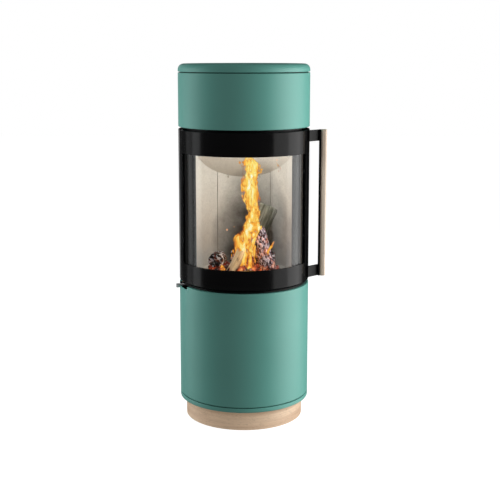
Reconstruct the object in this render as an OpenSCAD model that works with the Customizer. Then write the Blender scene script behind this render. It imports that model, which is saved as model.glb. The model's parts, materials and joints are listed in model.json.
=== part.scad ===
// Wood burning stove: a round steel stove with a curved glass door, a full-height handle,
// a vermiculite-lined firebox, a lever for the combustion air and a wooden plinth.
// Millimetres. Z = 0 is the floor, the origin is on the stove's axis, -Y is the front.
// Plan angles (phi) are counted from the front, positive towards +X.

/* [Overall] */
// Outer diameter of the casings and the door
body_d = 450; // [420:5:560]
// Width of the shadow grooves at the base and under the lid
groove_h = 3; // [2:0.5:6]

/* [Plinth and base] */
// Height of the wooden plinth
plinth_h = 68; // [40:1:120]
// How far the plinth stands back from the casing
plinth_inset = 21; // [10:1:40]
// Wall of the wooden plinth
plinth_wall = 22; // [14:1:30]
// Height of the painted base ring
base_ring_h = 15; // [12:1:30]
// Thickness of the base plate on the floor
base_plate_t = 4; // [3:0.5:8]

/* [Casings] */
// Height of the lower casing
lower_casing_h = 391; // [370:1:520]
// Height of the upper casing
upper_casing_h = 181.5; // [175:0.5:260]
// Sheet of the casings
casing_t = 2.5; // [1.5:0.5:4]
// Radial width of the lips inside the casings' edges
lip_w = 14; // [11:1:18]
// Height of the gap below the door
low_gap = 12; // [12:1:18]
// Height of the gap above the door
top_gap = 9; // [9:1:14]

/* [Lid] */
// Height of the lid
lid_h = 26.5; // [24:0.5:40]
// Rounding of the lid's edge
lid_round = 20; // [8:1:20]
// Thickness of the lid's top
lid_t = 4; // [3:0.5:6]
// Radius of the opening under the round cover
cover_hole_r = 86; // [60:1:95]

/* [Door] */
// Height of the door
door_h = 519; // [480:1:700]
// Half of the angle that the door spans
door_half = 72; // [68:0.5:74]
// Angle left free between the door and the middle casing
edge_gap = 2.8; // [2.4:0.1:5]
// Height of the lower rail
low_rail_h = 67; // [62:1:90]
// Height of the upper rail
top_rail_h = 78; // [70:1:100]
// Thickness of the rails and stiles
rail_t = 4; // [3:0.5:5]
// Angle that a stile covers
stile_deg = 4.4; // [3.5:0.1:6]
// Thickness of the curved glass
glass_t = 4; // [3:0.5:5]
// Radius of the rope seal
rope_r = 4.5; // [3.5:0.5:6]

/* [Hinge and catch] */
// Radius of the hinge pins
pin_r = 4; // [3:0.5:5]
// Wall of the hinge bushes
bush_wall = 1.5; // [1:0.5:2]
// Length of a hinge knuckle
knuckle_h = 28; // [20:1:40]
// Radius of a catch roller
roller_r = 4.5; // [4:0.5:5]
// Length of a catch roller
roller_h = 12; // [8:1:20]

/* [Handle] */
// Distance from the casing to the handle's steel bar
handle_reach = 31.3; // [28:0.1:60]
// Thickness of the steel bar
bar_t = 5.4; // [4:0.2:8]
// Width of the steel bar
bar_w = 22; // [18:1:24]
// Thickness of the wooden grip
grip_t = 20; // [18:1:26]
// Width of the wooden grip
grip_w = 26; // [24:1:34]
// Rounding of the wooden grip
grip_round = 7; // [3:0.5:8]
// Height of a handle bracket
bracket_h = 38; // [24:1:50]
// Thickness of a handle bracket's flat
arm_t = 6; // [4:0.5:7]

/* [Firebox] */
// Sheet of the firebox shell
shell_t = 4; // [3:0.5:6]
// Thickness of the firebox floor
floor_t = 6; // [4:0.5:8]
// Thickness of the vermiculite linings
lining_t = 25; // [20:1:30]
// Half of the angle that the back lining covers
back_half = 35; // [25:1:45]
// Height of the baffle's low back edge above the door's bottom
baffle_rise = 332; // [300:1:340]
// Slope of the baffle
baffle_deg = 34.4; // [25:0.2:36]
// Radius of the grate
grate_r = 92; // [70:1:100]

/* [Air and flue] */
// Outer radius of the flue spigot
flue_r = 74.25; // [58:0.25:76]
// Length of the flue spigot outside the casing
flue_out = 45; // [40:1:80]
// Outer radius of the air inlet spigot
inlet_r = 49.5; // [38:0.5:52]
// Length of the air inlet spigot outside the casing
inlet_out = 40; // [30:1:60]
// Rest angle of the air lever
lever_phi = -80; // [-84:1:-76]
// Travel of the air lever
lever_travel = 16; // [8:1:16]
// Radius of the lever's knob
knob_r = 7; // [6:0.5:10]

/* [Hidden] */
$fn = 96;
run = 0.05;          // radial clearance of a pin in its bush
gap = 0.4;           // clearance between pieces that move apart
edge_r = 2;          // rounding of the visible sheet edges
sheet = 2;           // thin inner sheet
body_r = body_d / 2;

// Levels, from the floor up
z_ring = plinth_h;
z_floor_plate = z_ring + base_ring_h;
z_case = z_floor_plate + groove_h;
z_case_top = z_case + lower_casing_h;
z_door = z_case_top + low_gap;
z_door_top = z_door + door_h;
z_upper = z_door_top + top_gap;
z_upper_top = z_upper + upper_casing_h;
z_lid = z_upper_top + groove_h;
z_top = z_lid + lid_h;
z_glass_low = z_door + low_rail_h;
z_glass_top = z_door_top - top_rail_h;
z_hearth = z_case_top + floor_t;

// Radial stack, from the door inwards
glass_gap = 0.5;
rail_in = body_r - rail_t;
glass_r = rail_in - glass_gap;
glass_in = glass_r - glass_t;
carrier_in = glass_in - 0.8;
rope_at = carrier_in - rope_r;
rope_deg = asin(rope_r / rope_at);
frame_r = rope_at - rope_r - 0.7;
frame_t = 4;
shell_r = frame_r - 10;
shell_in = shell_r - shell_t;
lining_r = shell_in - 1;
lining_in = lining_r - lining_t;
case_in = body_r - casing_t;
groove_r = body_r - 6;
lip_in = body_r - lip_w;
collar_out = lip_in + 4;
collar_t = 4;
seal_phi = door_half - 5.5;
seal_low = z_door + 23;
seal_top = z_door_top - 23;
lip = 9;             // overlap of glass and rails
glass_half = door_half - stile_deg + 1;

// Hinge, on the left edge of the door
hinge_phi = 1.5 - door_half;
hinge_at = body_r - pin_r - bush_wall - 2.5;
knuckle_r = pin_r + bush_wall + 2.3;
tab_t = 4;
top_tab_t = 3;
washer_t = 1.5;
pin_in = 24;         // depth of a pin in its knuckle

// Front flanges of the firebox
frame_half = 70;
flange_y = -frame_r * cos(frame_half);
flange_t = 6;
flange_in = lining_in - 3;
window_low = z_hearth + 52;
window_top = z_door_top - 48;
window_half = seal_phi - 3;
shell_cut = acos((-flange_y - flange_t - 2) / shell_r);

// Catch, on the right edge
tongue_t = 3;
tongue_x = sqrt(pow(frame_r, 2) - pow(flange_y + flange_t, 2)) + 1.9;
catch_gap = 1.2;
roller_x = tongue_x + tongue_t + catch_gap + roller_r;
roller_y = flange_y + 20.5;
axle_r = 2;
catch_z = [z_glass_low + 84, z_glass_top - 70];

// Handle, on the right edge
handle_x = body_r + handle_reach;
handle_y = -34;
handle_low = z_door + 13;
handle_top = z_door_top - 1;
arm_phi = door_half + 1.1;
arm_turn_r = body_r + 5;
foot_in = carrier_in + 0.3;
bracket_z = [handle_low, handle_top - bracket_h];

// Air control
ring_t = 3;
ring_out = 150;
ring_in = 118;
z_ring_valve = z_case_top - ring_t - gap - sheet - 0.1;
lever_w = 14;
knob_at = body_r + knob_r + 1.4;
knob_h = 13;
knob_drop = 4;       // centre of the knob below the lever
notch_low = z_case_top - z_ring_valve + ring_t + 2;
notch_margin = 3.6;
notch_corner = 4;
port_n = 6;
port_start = 14;
port_rim = 6;
valve_post_r = 3;
valve_post_from = 30;
air_box_r = 160;
air_box_h = 137;
duct_top = z_case_top - air_box_h;
tub_r = 110;
tub_h = 77;
pan_r = grate_r - 8;
duct_wall = 1.5;
z_inlet = z_case + inlet_r + 14.5;
inlet_len = body_r + inlet_out;
inlet_stop = body_r + 3;

// Flue
z_flue = z_upper + 83;
flue_wall = 2.5;
shell_top = z_upper_top - 18;
flue_len = body_r + flue_out;
flue_stop = body_r + 5;
neck_step = 1;
hole_gap = 5;
stop_w = 3;          // collar of a spigot against the casing

// Plinth, base and chassis
post_w = 25;
post_at = 185;
ring_wall = 17;
web_in = 60;         // hole in the base ring's web
web_t = 4;
plinth_r = body_r - plinth_inset;
plinth_in = plinth_r - plinth_wall;
foot_at = plinth_in - 28;
foot_r = 5;
foot_low = 20;       // end of a levelling screw below the base ring
nut_r = 8;
nut_h = 6;
tube_r = 14;
tube_t = 4;

// Lid
soft_edge = 1.5;
seat_in = 185;
ledge_w = 8;
ledge_t = 3;         // ledge under the round cover
recess_wall = 4;
cover_gap = 0.5;
dimple_r = 12;
dimple_deep = 1.2;
slot_r = 0.79 * body_r;
slot_w = 9;
slot_half = 36;
slot_n = 4;

// Linings, baffle, grate and ash pan
lining_top = z_door_top - 20;
baffle_front = 100;
baffle_pin_r = 4;
baffle_pin_phi = 20;
baffle_pin_len = 18; // reach of a pin inside the lining
baffle_pin_z = z_door + baffle_rise - baffle_pin_r - 0.5
    + (lining_in - (lining_in - 1) * cos(baffle_pin_phi)) * tan(baffle_deg);
bar_deep = 12;
bar_h = 8;
retainer_y = -150;
retainer_w = 170;
retainer_t = 8;
retainer_h = 48;
retainer_foot = [10, 14, 12];
ledge = 5;           // ring of the floor that the grate rests on
grate_t = 12;
grate_lip = 2;       // height of the grate's rim above its bars
grate_lip_w = 6;
grate_pitch = 22;
grate_slot = 10;
grate_edge = 12;
grate_side = 3;      // slots on each side of the middle one
pan_low = 17;        // rim of the ash pan below the firebox floor's underside
pan_handle_low = 28;
pan_handle_r = 3;

// Screws
grip_screw_z = [handle_low + 68, (handle_low + handle_top) / 2, handle_top - 67];
grip_screw_deep = 12;
bracket_screw_in = 10;
casing_screw_phi = 28;
casing_screw_in = 40;
casing_screw_z = [
    for (z = [z_case, z_door, z_upper]) z + casing_screw_in,
    for (z = [z_case_top, z_door_top, z_upper_top]) z - casing_screw_in
];
clip_phi = [-40, 0, 40];
clip_half = 4;
clip_h = 13;
screw_r = 2;
head_r = 4;
head_h = 2.5;

paint = [0.33, 0.55, 0.51];
steel_black = [0.10, 0.10, 0.11];
vermiculite = [0.82, 0.78, 0.72];
beech = [0.80, 0.70, 0.58];
bright = [0.75, 0.76, 0.78];
cast = [0.16, 0.15, 0.15];
galvanised = [0.55, 0.57, 0.58];

// ---- shared shapes ----

// A full ring, or a disc where r_in is 0
module ring(r_out, r_in, low, high)
    translate([0, 0, low]) rotate_extrude() translate([r_in, 0]) square([r_out - r_in, high - low]);

// Part of a ring, between two plan angles counted from the front
module band(r_out, r_in, low, high, from, to)
    translate([0, 0, low]) rotate_extrude(angle = to - from, start = from - 90)
        translate([r_in, 0]) square([r_out - r_in, high - low]);

// The section of a curved sheet, its outer corners rounded by top_r and low_r
module sheet_section(r_in, w, h, top_r, low_r)
    difference() {
        translate([r_in, 0]) square([w, h]);
        if (top_r > 0) translate([r_in + w - top_r, h - top_r])
            difference() { square(2 * top_r); circle(top_r); }
        if (low_r > 0) translate([r_in + w - low_r, low_r]) mirror([0, 1])
            difference() { square(2 * low_r); circle(low_r); }
    }

// Puts its child at a radius and a plan angle, +X outwards
module place(r, phi, z = 0)
    translate([r * sin(phi), -r * cos(phi), z]) rotate([0, 0, phi - 90]) children();

// A rod along the child's +X
module rod(r, from, to)
    translate([from, 0, 0]) rotate([0, 90, 0]) cylinder(r = r, h = to - from);

// A screw whose shank runs outwards from its head: head inside, shank to reach
module screw_out(head_at, reach) {
    rod(head_r, head_at - head_h, head_at);
    rod(screw_r, head_at, reach);
}

module rounded_slab(x, y, h, r)
    linear_extrude(h) {
        translate([r, 0]) square([x - 2 * r, y]);
        translate([0, r]) square([x, y - 2 * r]);
        for (i = [r, x - r], j = [r, y - r]) translate([i, j]) circle(r);
    }

// ---- plinth and base ----

module base_plate() color(galvanised) difference() {
    ring(plinth_in - 0.5, 0, 0, base_plate_t);
    for (a = [45 : 90 : 315]) place(foot_at, a, -1) cylinder(r = foot_r + run, h = base_plate_t + 2);
}

module plinth_ring() color(beech) rotate_extrude()
    sheet_section(plinth_in, plinth_wall, plinth_h, soft_edge, soft_edge);

module plinth_posts() color(galvanised)
    for (a = [45 : 90 : 315]) place(foot_at, a, base_plate_t) difference() {
        cylinder(r = tube_r, h = plinth_h - base_plate_t);
        translate([0, 0, -1]) cylinder(r = tube_r - tube_t, h = plinth_h);
    }

module levelling_screws() color(bright)
    for (a = [45 : 90 : 315]) place(foot_at, a) union() {
        cylinder(r = foot_r, h = plinth_h - foot_low);
        translate([0, 0, plinth_h - foot_low]) cylinder(r = nut_r, h = nut_h);
    }

module base_ring() color(paint) rotate_extrude() translate([0, z_ring]) union() {
    sheet_section(body_r - ring_wall, ring_wall, base_ring_h, edge_r, 3);
    translate([web_in, 0]) square([body_r - ring_wall - web_in + 1, web_t]);
}

module chassis_floor() color(steel_black) ring(groove_r, 0, z_floor_plate, z_case);

module chassis_posts() color(steel_black)
    for (a = [45 : 90 : 315]) place(post_at, a, z_case) difference() {
        translate([-post_w / 2, -post_w / 2, 0]) cube([post_w, post_w, lower_casing_h]);
        translate([sheet - post_w / 2, sheet - post_w / 2, -1])
            cube([post_w - 2 * sheet, post_w - 2 * sheet, lower_casing_h + 2]);
    }

// ---- casings ----

module lower_casing() color(paint) difference() {
    rotate_extrude() translate([0, z_case]) union() {
        sheet_section(case_in, casing_t, lower_casing_h, edge_r, edge_r);
        translate([lip_in, lower_casing_h - sheet]) square([casing_t + case_in - lip_in - edge_r, sheet]);
    }
    place(0, 180, z_inlet) rod(inlet_r + hole_gap, case_in - 12, body_r + 1);
    lever_notch();
    casing_holes();
}

// The open notch in the casing's top edge that the air lever moves in
module lever_notch() {
    margin = notch_margin;
    band(body_r + 1, lip_in - 6, z_case_top - notch_low + notch_corner, z_case_top + 1,
        lever_phi - margin - 1, lever_phi + lever_travel + margin + 1);
    band(body_r + 1, lip_in - 6, z_case_top - notch_low, z_case_top - notch_low + notch_corner + 0.5,
        lever_phi - margin, lever_phi + lever_travel + margin);
}

module middle_casing() color(steel_black) difference() {
    translate([0, 0, z_door]) rotate_extrude(angle = 360 - 2 * (door_half + edge_gap),
        start = door_half + edge_gap - 90)
        sheet_section(case_in, casing_t, door_h, soft_edge, soft_edge);
    casing_holes();
}

module upper_casing() color(paint) difference() {
    rotate_extrude() translate([0, z_upper]) union() {
        sheet_section(case_in, casing_t, upper_casing_h, edge_r, edge_r);
        translate([lip_in, 0]) square([casing_t + case_in - lip_in - edge_r, sheet]);
        translate([lip_in, upper_casing_h - sheet])
            square([casing_t + case_in - lip_in - edge_r, sheet]);
    }
    place(0, 180, z_flue) rod(flue_r + hole_gap, case_in - 20, body_r + 1);
    casing_holes();
}

module collar_ring() color(steel_black) ring(collar_out, shell_r, z_upper - collar_t, z_upper);

module lid_seat_ring() color(steel_black) ring(groove_r, seat_in, z_upper_top, z_lid);

module top_plate() color(paint) difference() {
    rotate_extrude() difference() {
        translate([0, z_lid]) sheet_section(cover_hole_r - ledge_w,
            body_r - cover_hole_r + ledge_w, lid_h, lid_round, soft_edge);
        translate([cover_hole_r + recess_wall, z_lid - 1])
            square([body_r - cover_hole_r - recess_wall - lid_round, lid_h - lid_t + 1]);
        translate([0, z_lid - 1]) square([cover_hole_r + recess_wall + 1, lid_h - lid_t - ledge_t + 1]);
        translate([0, z_top - lid_t]) square([cover_hole_r, lid_t + 1]);
    }
    for (a = [0 : 360 / slot_n : 359])
        band(slot_r + slot_w / 2, slot_r - slot_w / 2, z_top - lid_t - 1, z_top + 1,
            a - slot_half, a + slot_half);
}

module top_cover() color(paint) rotate_extrude() difference() {
    translate([0, z_top - lid_t + gap]) sheet_section(0, cover_hole_r - cover_gap, lid_t - gap, 1, 0);
    translate([0, z_top - dimple_deep]) square([dimple_r, 2]);
}

module at_casing_screws()
    for (s = [-1, 1], z = casing_screw_z) place(0, 180 + casing_screw_phi * s, z) children();

module casing_holes() at_casing_screws() rod(screw_r, case_in - 4, body_r + 1);

module casing_screws() color(steel_black) at_casing_screws() {
    rod(head_r, body_r, body_r + head_h);
    rod(screw_r, case_in - 3, body_r);
}

// ---- firebox ----

module firebox_floor() color(steel_black) ring(collar_out, grate_r - ledge, z_case_top, z_hearth);

module hearth_lining() color(vermiculite) difference() {
    ring(lining_in - 1, grate_r + 1, z_hearth, z_hearth + lining_t);
    translate([-body_r, -body_r, z_hearth - 1]) cube([body_d, body_r + retainer_y + 8, lining_t + 2]);
}

module grate() color(cast) difference() {
    union() {
        ring(grate_r, 0, z_hearth + gap, z_hearth + grate_t);
        ring(grate_r + 0.2, grate_r - grate_lip_w, z_hearth + gap, z_hearth + grate_t + grate_lip);
    }
    for (i = [-grate_side : grate_side])
        let (half = sqrt(pow(grate_r - grate_edge, 2) - pow(i * grate_pitch + grate_slot / 2 + 1, 2)))
            translate([i * grate_pitch - grate_slot / 2, -half, z_hearth - 1])
                cube([grate_slot, 2 * half, grate_t + 8]);
}

module ash_box() color(galvanised) difference() {
    ring(tub_r, 0, z_case_top - tub_h, z_case_top);
    ring(tub_r - sheet, 0, z_case_top - tub_h + sheet, z_case_top + 1);
}

module ash_pan() color(galvanised) difference() {
    ring(pan_r, 0, z_case_top - tub_h + sheet, z_case_top - pan_low);
    ring(pan_r - sheet, 0, z_case_top - tub_h + 2 * sheet, z_case_top);
}

module ash_pan_handle() color(bright) translate([0, 0, z_case_top - pan_handle_low])
    rod(pan_handle_r, sheet - pan_r, pan_r - sheet);

module firebox_shell() color(steel_black) difference() {
    ring(shell_r, shell_in, z_hearth, shell_top);
    band(shell_r + 1, shell_in - 1, window_low - 20, window_top + 10, -shell_cut, shell_cut);
    place(0, 180, z_flue) rod(flue_r - neck_step, shell_in - 30, shell_r + 1);
    for (s = [-1, 1]) place(0, 180 + baffle_pin_phi * s, baffle_pin_z)
        rod(baffle_pin_r, shell_in - 5, shell_r + 1);
}

module firebox_top() color(steel_black) ring(shell_r, 0, shell_top, shell_top + floor_t);

// The frame that the door seals on: two curved bands, two side strips and two flat flanges
module front_frame() color(steel_black) union() {
    band(frame_r, shell_r, z_hearth, window_low, -frame_half, frame_half);
    band(frame_r, shell_r, window_top, z_upper - collar_t, -frame_half, frame_half);
    for (s = [0, 1]) mirror([s, 0, 0]) {
        band(frame_r, shell_r, window_low, window_top, window_half, frame_half);
        translate([0, 0, window_low]) linear_extrude(window_top - window_low) intersection() {
            translate([flange_in, flange_y]) square([frame_r - flange_in, flange_t]);
            circle(frame_r);
        }
    }
}

module log_retainer() color(cast) union() {
    translate([-retainer_w / 2, retainer_y - retainer_t / 2, z_hearth])
        cube([retainer_w, retainer_t, retainer_h]);
    for (x = [-retainer_w / 2, retainer_w / 2 - retainer_foot[0]])
        translate([x, retainer_y - retainer_t / 2 - retainer_foot[1], z_hearth]) cube(retainer_foot);
}

module lining_wall(from, to) band(lining_r, lining_in, z_hearth + 0.5, lining_top, from, to);

module back_lining() color(vermiculite) difference() {
    lining_wall(180 - back_half + 0.3, 180 + back_half - 0.3);
    for (s = [-1, 1]) place(0, 180 + baffle_pin_phi * s, baffle_pin_z)
        rod(baffle_pin_r + run, lining_in - 5, lining_r + 1);
}

module side_lining() {
    lining_wall(90, 180 - back_half - 0.3);
    translate([lining_in, flange_y + flange_t + 0.5, z_hearth + 0.5])
        intersection() {
            cube([lining_t, -flange_y - flange_t - 0.5, lining_top - z_hearth - 0.5]);
            translate([-lining_in, -flange_y - flange_t - 0.5, -1])
                cylinder(r = lining_r, h = lining_top - z_hearth + 2);
        }
}

module right_lining() color(vermiculite) side_lining();

module left_lining() color(vermiculite) mirror([1, 0, 0]) side_lining();

module baffle_plate() color(vermiculite) intersection() {
    ring(lining_in - 1, 0, z_door, z_upper_top);
    translate([-body_r, lining_in, z_door + baffle_rise]) rotate([-baffle_deg, 0, 0])
        translate([0, -(lining_in + baffle_front) / cos(baffle_deg), 0])
            cube([body_d, 2 * body_r, lining_t]);
}

module baffle_bar() color(steel_black)
    translate([-flange_in - 3, flange_y - bar_deep,
        z_door + baffle_rise + (lining_in - flange_y) * tan(baffle_deg) - bar_h - 1])
        cube([2 * flange_in + 6, bar_deep, bar_h]);

module baffle_pins() color(bright)
    for (s = [-1, 1]) place(0, 180 + baffle_pin_phi * s, baffle_pin_z)
        rod(baffle_pin_r, lining_in - baffle_pin_len, shell_r);

module rear_heat_shield() color(galvanised)
    band(case_in - 9, case_in - 10, z_door + 10, z_door_top - 10, 110, 250);

module flue_spigot() color(steel_black) place(0, 180, z_flue) difference() {
    union() {
        rod(flue_r - neck_step, sqrt(pow(shell_in, 2) - pow(flue_r, 2)), flue_stop);
        rod(flue_r + stop_w, flue_stop - sheet, flue_stop);
        rod(flue_r, flue_stop, flue_len);
    }
    rod(flue_r - flue_wall, 100, flue_len + 1);
}

// ---- combustion air ----

module air_inlet_spigot() color(galvanised) place(0, 180, z_inlet) difference() {
    union() {
        rod(inlet_r - neck_step, 120, inlet_stop);
        rod(inlet_r + stop_w, inlet_stop - sheet, inlet_stop);
        rod(inlet_r, inlet_stop, inlet_len);
    }
    rod(inlet_r - neck_step - duct_wall, 100, inlet_len + 1);
}

module air_duct() color(galvanised) difference() {
    union() {
        translate([0, 0, z_case]) cylinder(r = inlet_r + duct_wall, h = duct_top - z_case);
        place(0, 180, z_inlet) rod(inlet_r + duct_wall, 0, 140);
    }
    translate([0, 0, z_case + sheet]) cylinder(r = inlet_r, h = duct_top - z_case);
    place(0, 180, z_inlet) rod(inlet_r, 0, 141);
}

module air_box() color(galvanised) difference() {
    ring(air_box_r, 0, duct_top, z_case_top);
    ring(air_box_r - sheet, 0, duct_top + sheet, z_case_top + 1);
    ring(inlet_r, 0, duct_top - 1, duct_top + sheet + 1);
    band(air_box_r + 1, air_box_r - 4, z_ring_valve - 4, z_ring_valve + ring_t + 4,
        lever_phi - 8, lever_phi + lever_travel + 8);
}

module ports(r_in, r_out, low, high)
    for (i = [0 : port_n - 1])
        let (from = lever_phi + port_start + i * 360 / port_n)
            band(r_out, r_in, low, high, from, from + lever_travel);

module valve_seat() color(galvanised) difference() {
    union() {
        ring(air_box_r - sheet, tub_r, z_ring_valve + ring_t + gap, z_ring_valve + ring_t + gap + sheet);
        for (i = [0 : 2]) place(0, valve_post_from + i * 120, z_ring_valve - 3) {
            translate([ring_out + 4, 0, 0]) cylinder(r = valve_post_r, h = z_case_top - z_ring_valve + 3);
            translate([ring_out - 4, -3, 0]) cube([8, 6, 3 - gap]);
        }
    }
    ports(ring_in + port_rim, ring_out - port_rim, z_ring_valve, z_case_top + 1);
}

module valve_ring() color(galvanised) difference() {
    ring(ring_out, ring_in, z_ring_valve, z_ring_valve + ring_t);
    ports(ring_in + port_rim, ring_out - port_rim, z_ring_valve - 1, z_ring_valve + ring_t + 1);
}

module air_lever() color(bright) place(0, lever_phi, z_ring_valve) difference() {
    translate([ring_in + 4, -lever_w / 2, -ring_t]) cube([knob_at - ring_in - 4, lever_w, ring_t]);
    translate([knob_at, 0, -ring_t - 1]) cylinder(r = knob_r, h = 20);
}

module lever_knob() color(bright)
    place(knob_at, lever_phi, z_ring_valve - ring_t / 2 - knob_h / 2 - knob_drop)
    rotate_extrude() difference() {
        union() {
            square([knob_r - edge_r, knob_h]);
            translate([0, edge_r]) square([knob_r, knob_h - 2 * edge_r]);
            for (z = [edge_r, knob_h - edge_r]) translate([knob_r - edge_r, z]) circle(edge_r);
        }
        translate([-50, -1]) square([50, knob_h + 2]);
        translate([-1, knob_h - 3]) square([knob_r / 2 - 0.5 + 1, 4]);
    }

// ---- hinge and catch, fixed to the firebox ----

module tab_plan(t) {
    place(hinge_at, hinge_phi) cylinder(r = knuckle_r - 0.3, h = t);
    place(0, hinge_phi) translate([shell_r + frame_t + 7, 0.3 - knuckle_r, 0])
        cube([hinge_at - shell_r - frame_t - 7, 2 * knuckle_r - 0.6, t]);
}

module hinge_tabs() color(steel_black) {
    difference() {
        translate([0, 0, z_hearth]) tab_plan(tab_t);
        place(hinge_at, hinge_phi, z_hearth - 1) cylinder(r = pin_r, h = tab_t + 2);
    }
    difference() {
        translate([0, 0, z_upper - collar_t - top_tab_t]) tab_plan(top_tab_t);
        place(hinge_at, hinge_phi, z_upper - collar_t - top_tab_t - 1)
            cylinder(r = pin_r, h = top_tab_t + 2);
    }
}

module hinge_pins() color(bright) {
    place(hinge_at, hinge_phi, z_hearth) cylinder(r = pin_r, h = z_door + pin_in - z_hearth);
    place(hinge_at, hinge_phi, z_door_top - pin_in)
        cylinder(r = pin_r, h = z_upper - collar_t - z_door_top + pin_in);
}

module hinge_washers() color("goldenrod") place(hinge_at, hinge_phi, z_hearth + tab_t) difference() {
    cylinder(r = knuckle_r - 0.8, h = washer_t);
    translate([0, 0, -1]) cylinder(r = pin_r, h = washer_t + 2);
}

module catch_brackets() color(steel_black)
    for (z = catch_z) difference() {
        union() {
            translate([shell_in - 20, roller_y - 6, z + roller_h / 2 + gap])
                cube([roller_x - shell_in + 20, 12, 3]);
            translate([roller_x, roller_y, z + roller_h / 2 + gap]) cylinder(r = 6, h = 3);
            translate([roller_x, roller_y, z - roller_h / 2 - 3]) cylinder(r = axle_r, h = roller_h + 5);
            translate([roller_x, roller_y, z - roller_h / 2 - gap - 2]) cylinder(r = axle_r + 1.5, h = 2);
        }
        ring(shell_r, 0, z - roller_h, z + roller_h);
    }

module catch_rollers() color(bright)
    for (z = catch_z) translate([roller_x, roller_y, z - roller_h / 2]) difference() {
        cylinder(r = roller_r, h = roller_h);
        translate([0, 0, -1]) cylinder(r = axle_r + run, h = roller_h + 2);
    }

// ---- door ----

// A rail with its knuckle and its rounded edge at Z = 0
module door_rail(h) difference() {
    union() {
        rotate_extrude(angle = 2 * door_half, start = -door_half - 90)
            sheet_section(rail_in, rail_t, h, 0, edge_r);
        intersection() {
            place(hinge_at, hinge_phi) cylinder(r = knuckle_r, h = knuckle_h);
            ring(rail_in + 1, 0, -1, knuckle_h + 1);
        }
    }
    place(hinge_at, hinge_phi, -1) cylinder(r = pin_r + bush_wall, h = knuckle_h + 2);
}

module door_lower_rail() color(steel_black) translate([0, 0, z_door]) door_rail(low_rail_h);

module door_upper_rail() color(steel_black)
    translate([0, 0, z_door_top]) mirror([0, 0, 1]) door_rail(top_rail_h);

module door_stiles() color(steel_black)
    for (from = [-door_half, door_half - stile_deg])
        band(body_r, rail_in, z_glass_low, z_glass_top, from, from + stile_deg);

module door_glass() color([0.6, 0.65, 0.65, 0.35])
    band(glass_r, glass_in, z_glass_low - lip, z_glass_top + lip, -glass_half, glass_half);

module seal_carrier() color(steel_black) {
    for (z = [seal_low, seal_top])
        band(rail_in, carrier_in, z - 7, z + 7, -seal_phi + 2.5, seal_phi - 6);
    for (s = [-1, 1])
        band(glass_in, carrier_in, z_glass_low - lip, z_glass_top + lip, s * seal_phi - 1.9,
            s * seal_phi + 1.9);
}

// The seal between door and firebox: two curved runs and two straight ones
module door_gasket() color([0.2, 0.2, 0.2]) union() {
    for (z = [seal_low, seal_top])
        band(rope_at + rope_r, rope_at - rope_r, z - rope_r, z + rope_r, -seal_phi, seal_phi);
    for (s = [-1, 1])
        band(rope_at + rope_r, rope_at - rope_r, seal_low, seal_top, s * seal_phi - rope_deg,
            s * seal_phi + rope_deg);
}

module glass_clips() color(bright) for (phi = clip_phi, top = [0, 1]) {
    edge = top == 0 ? z_glass_low - lip : z_glass_top + lip;
    s = top == 0 ? -1 : 1;
    outer = edge + s * clip_h;
    inner = edge - s * (lip - 1);
    band(rail_in, glass_in - sheet, min(edge + s, outer), max(edge + s, outer),
        phi - clip_half, phi + clip_half);
    band(glass_in, glass_in - sheet, min(edge + s, inner), max(edge + s, inner),
        phi - clip_half, phi + clip_half);
}

module hinge_bushes() color("goldenrod")
    for (z = [z_door, z_door_top - knuckle_h]) place(hinge_at, hinge_phi, z) difference() {
        cylinder(r = pin_r + bush_wall, h = knuckle_h);
        translate([0, 0, -1]) cylinder(r = pin_r + run, h = knuckle_h + 2);
    }

module latch_tongues() color(bright)
    for (z = catch_z) union() {
        band(rail_in, frame_r + 2, z - 5, z + 5, door_half - 1.7, door_half - 0.2);
        translate([tongue_x, flange_y + 2, z - 5]) cube([tongue_t, 24, 10]);
    }

// A bent flat: a foot inside the rail, a neck through the gap beside the door, an arm to the bar
module handle_bracket(z) color(steel_black) difference() {
    union() {
        band(rail_in, foot_in, z, z + bracket_h, seal_phi - 4, arm_phi);
        translate([0, 0, z]) linear_extrude(bracket_h) polygon(arm_outline());
    }
    for (h = [bracket_screw_in, bracket_h - bracket_screw_in])
        place(0, seal_phi - 1.5, z + h) rod(screw_r, foot_in - 2, rail_in + 1);
}

// The neck and the arm in plan, with a mitred bend and its end flat on the bar
function arm_outline() =
    let (
        out = [sin(arm_phi), -cos(arm_phi)],
        side = [cos(arm_phi), sin(arm_phi)],
        turn = arm_turn_r * out,
        end = [handle_x, handle_y],
        along = (end - turn) / norm(end - turn),
        across = [-along[1], along[0]],
        mitre = (side + across) / (1 + side * across) * arm_t / 2,
        half = arm_t / 2,
        slip = across[0] * half / along[0]
    ) [
        foot_in * out - side * half, turn - mitre, end - across * half + along * slip,
        end + across * half - along * slip, turn + mitre, foot_in * out + side * half
    ];

module upper_handle_bracket() handle_bracket(bracket_z[1]);

module lower_handle_bracket() handle_bracket(bracket_z[0]);

module handle_bar() color(steel_black) difference() {
    translate([handle_x, handle_y - bar_w / 2, handle_low])
        cube([bar_t, bar_w, handle_top - handle_low]);
    for (z = grip_screw_z) translate([0, handle_y, z]) {
        rod(screw_r, handle_x - 1, handle_x + bar_t + 1);
        rod(head_r, handle_x - 1, handle_x + head_h);
    }
}

module handle_grip() color(beech) difference() {
    translate([handle_x + bar_t, handle_y - grip_w / 2, handle_low])
        rounded_slab(grip_t, grip_w, handle_top - handle_low, grip_round);
    for (z = grip_screw_z) translate([0, handle_y, z])
        rod(screw_r, handle_x + bar_t - 1, handle_x + bar_t + grip_screw_deep);
}

module handle_screws() color(bright) {
    for (z = grip_screw_z)
        translate([0, handle_y, z]) screw_out(handle_x + head_h, handle_x + bar_t + grip_screw_deep);
    for (z = bracket_z, h = [bracket_screw_in, bracket_h - bracket_screw_in])
        place(0, seal_phi - 1.5, z + h) rod(screw_r, foot_in, rail_in);
}

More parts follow.
